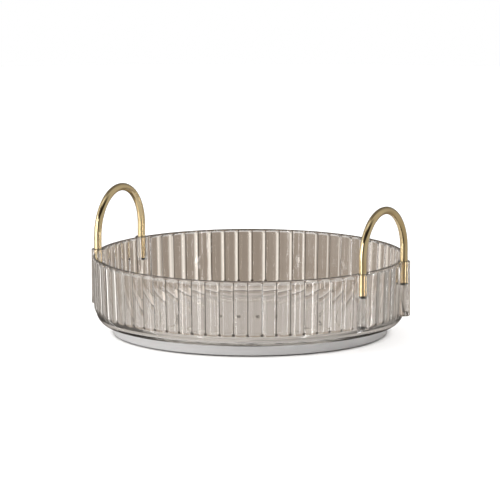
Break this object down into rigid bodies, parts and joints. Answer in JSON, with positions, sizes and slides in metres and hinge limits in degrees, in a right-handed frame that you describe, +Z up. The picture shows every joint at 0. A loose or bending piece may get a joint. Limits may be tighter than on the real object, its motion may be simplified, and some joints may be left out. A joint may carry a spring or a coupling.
{
  "type": "rotating vanity tray",
  "caption": "Round clear fluted tray that turns on a low ball-bearing base, with two arched tube handles plugged into sockets moulded in its wall.",
  "frame": {"origin": "on the turning axis, in the plane that the foot pads rest on", "axes": "+Z up along the turning axis; X runs through the two handles; -Y is the front, the side that a user faces"},
  "size_m": [0.262, 0.262, 0.1149],
  "materials": {
    "clear_plastic": "clear moulded plastic with a faint champagne tint, polished",
    "base_plastic": "light grey moulded plastic, satin",
    "gold": "polished pale gold plating",
    "plug_plastic": "black, moulded",
    "pad_rubber": "grey silicone rubber",
    "ball_steel": "polished bearing steel",
    "cage_plastic": "natural white, moulded",
    "bush_plastic": "natural acetal",
    "zinc_steel": "bright zinc plated"
  },
  "bodies": {
    "base": {"turntable_base": "base_plastic", "pivot_bush": "bush_plastic", "foot_pad_1": "pad_rubber", "foot_pad_2": "pad_rubber", "foot_pad_3": "pad_rubber", "foot_pad_4": "pad_rubber", "foot_pad_5": "pad_rubber", "foot_pad_6": "pad_rubber"},
    "tray": {"tray_bowl": "clear_plastic", "left_handle": "gold", "right_handle": "gold", "left_front_plug": "plug_plastic", "left_rear_plug": "plug_plastic", "right_front_plug": "plug_plastic", "right_rear_plug": "plug_plastic", "pivot_washer": "zinc_steel", "pivot_screw": "zinc_steel"},
    "bearing": {"ball_cage": "cage_plastic", "bearing_balls": "ball_steel"}
  },
  "joints": [
    {"name": "tray_spin", "type": "hinge", "parent": "base", "child": "tray", "pos_m": [0, 0, 0.0103], "axis": [0, 0, 1], "continuous": true},
    {"name": "bearing_spin", "type": "hinge", "parent": "base", "child": "bearing", "pos_m": [0, 0, 0.00932], "axis": [0, 0, 1], "continuous": true}
  ],
  "couplings": [
    {"joint": "bearing_spin", "follows": "tray_spin", "ratio": 0.5}
  ]
}
